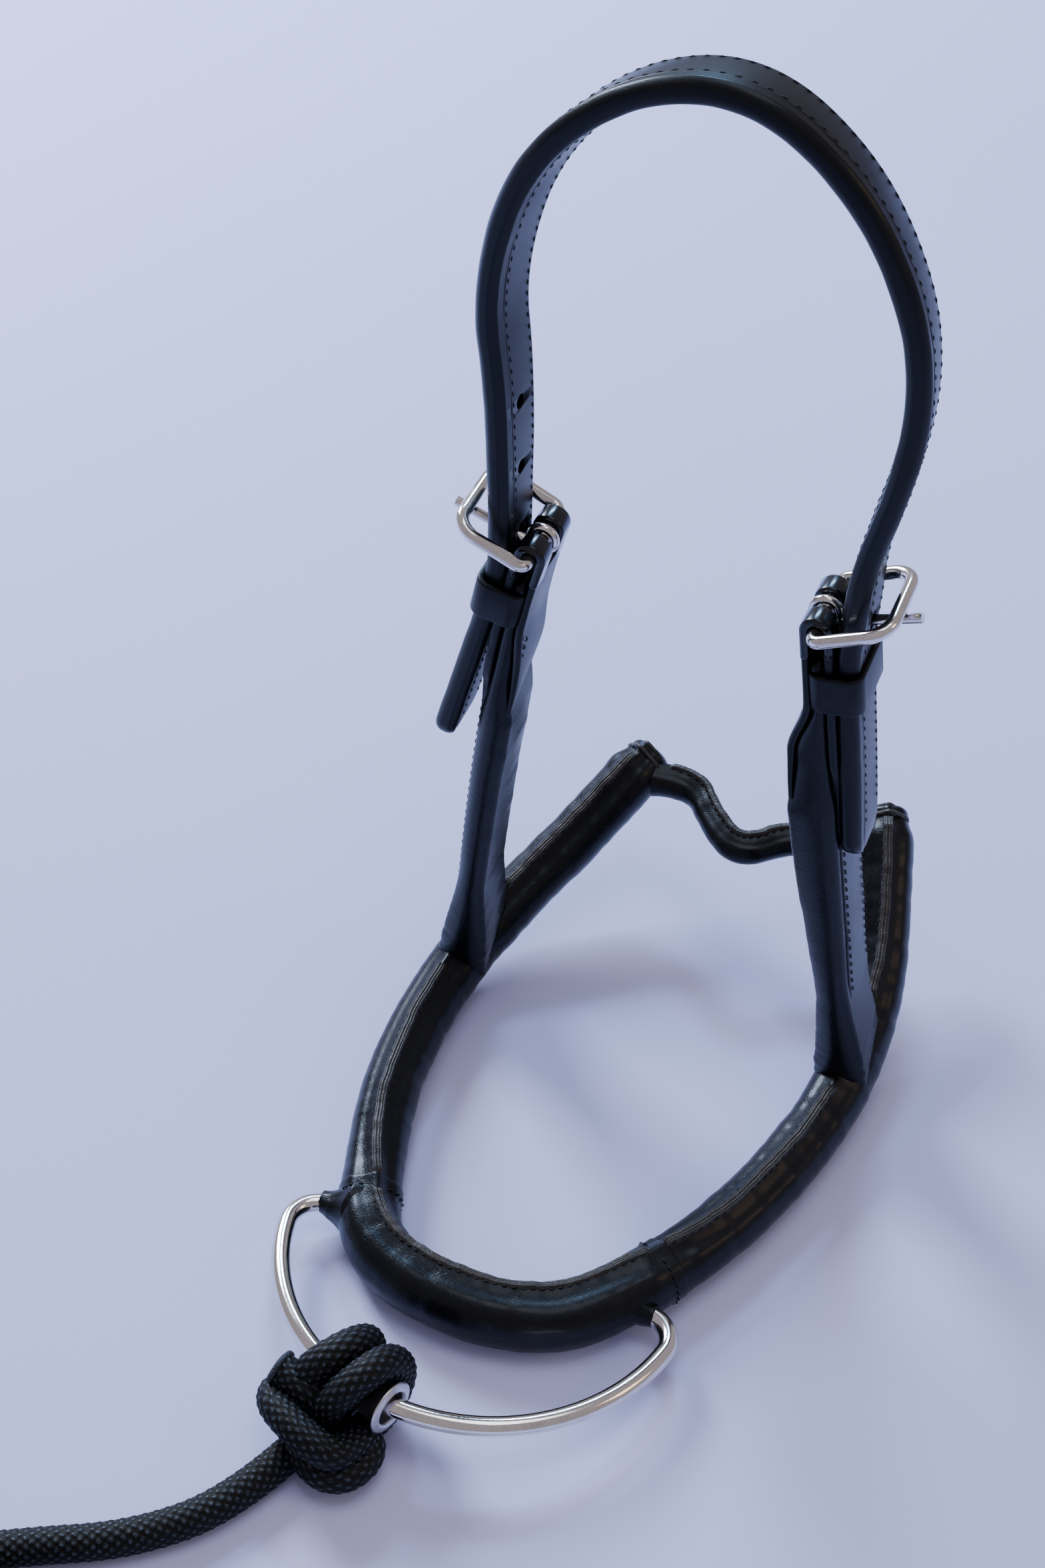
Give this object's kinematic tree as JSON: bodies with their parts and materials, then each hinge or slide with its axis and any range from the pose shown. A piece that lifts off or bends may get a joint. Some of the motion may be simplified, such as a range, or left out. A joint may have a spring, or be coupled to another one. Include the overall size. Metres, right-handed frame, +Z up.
{
  "type": "leather headcollar",
  "caption": "Padded black leather headcollar with a steel rope bail, buckled headpiece, rear strap and a knotted braided lead rope.",
  "frame": {"origin": "on the floor, under the middle of the headcollar's own box, lead rope left out", "axes": "+Z up from the floor through the headpiece, -Y towards the bail and the lead, +X across the nose"},
  "size_m": [0.2735, 0.4992, 0.3584],
  "materials": {
    "leather": "black glossy leather",
    "seam": "black cut edge with stitching",
    "padding": "felt or foam filler, hidden",
    "steel": "polished stainless steel",
    "rope": "black braided polyester"
  },
  "bodies": {
    "noseband": {"front_cover": "leather", "front_core": "padding", "front_welt": "seam", "left_arm_cover": "leather", "left_arm_core": "padding", "left_front_welt": "seam", "left_rear_welt": "seam", "right_arm_cover": "leather", "right_arm_core": "padding", "right_front_welt": "seam", "right_rear_welt": "seam", "rear_strap_cover": "leather", "rear_strap_core": "padding", "bail": "steel", "left_bail_sleeve": "leather", "right_bail_sleeve": "leather", "lead_coil": "rope"},
    "headpiece": {"crown_facing": "leather", "crown_filler": "padding", "crown_lining": "leather", "left_cheek_strap": "leather", "left_cheek_padding": "leather", "left_keeper": "leather", "right_cheek_strap": "leather", "right_cheek_padding": "leather", "right_keeper": "leather"},
    "left_buckle": {"left_buckle_frame": "steel"},
    "left_tongue": {"left_buckle_tongue": "steel"},
    "right_buckle": {"right_buckle_frame": "steel"},
    "right_tongue": {"right_buckle_tongue": "steel"},
    "rope_ring": {"eyelet_barrel": "steel", "eyelet_washer": "steel", "rope_knot": "rope", "lead_rope": "rope"}
  },
  "joints": [
    {"name": "headpiece_tilt", "type": "hinge", "parent": "noseband", "child": "headpiece", "pos_m": [0, 0.049, 0.0139], "axis": [1, 0, 0], "range_deg": [-25, 25]},
    {"name": "left_buckle_hinge", "type": "hinge", "parent": "headpiece", "child": "left_buckle", "pos_m": [-0.0425, 0.049, 0.204], "axis": [0, 1, 0], "range_deg": [0, 20]},
    {"name": "left_tongue_hinge", "type": "hinge", "parent": "headpiece", "child": "left_tongue", "pos_m": [-0.0425, 0.049, 0.204], "axis": [0, 1, 0], "range_deg": [0, 4]},
    {"name": "right_buckle_hinge", "type": "hinge", "parent": "headpiece", "child": "right_buckle", "pos_m": [0.0425, 0.049, 0.204], "axis": [0, -1, 0], "range_deg": [0, 20]},
    {"name": "right_tongue_hinge", "type": "hinge", "parent": "headpiece", "child": "right_tongue", "pos_m": [0.0425, 0.049, 0.204], "axis": [0, -1, 0], "range_deg": [0, 4]},
    {"name": "knot_slide", "type": "hinge", "parent": "noseband", "child": "rope_ring", "pos_m": [-0.015, -0.0635, 0.01], "axis": [0, 0.1426, 0.9898], "range_deg": [-36, 60], "deforming": ["lead_rope"]}
  ]
}
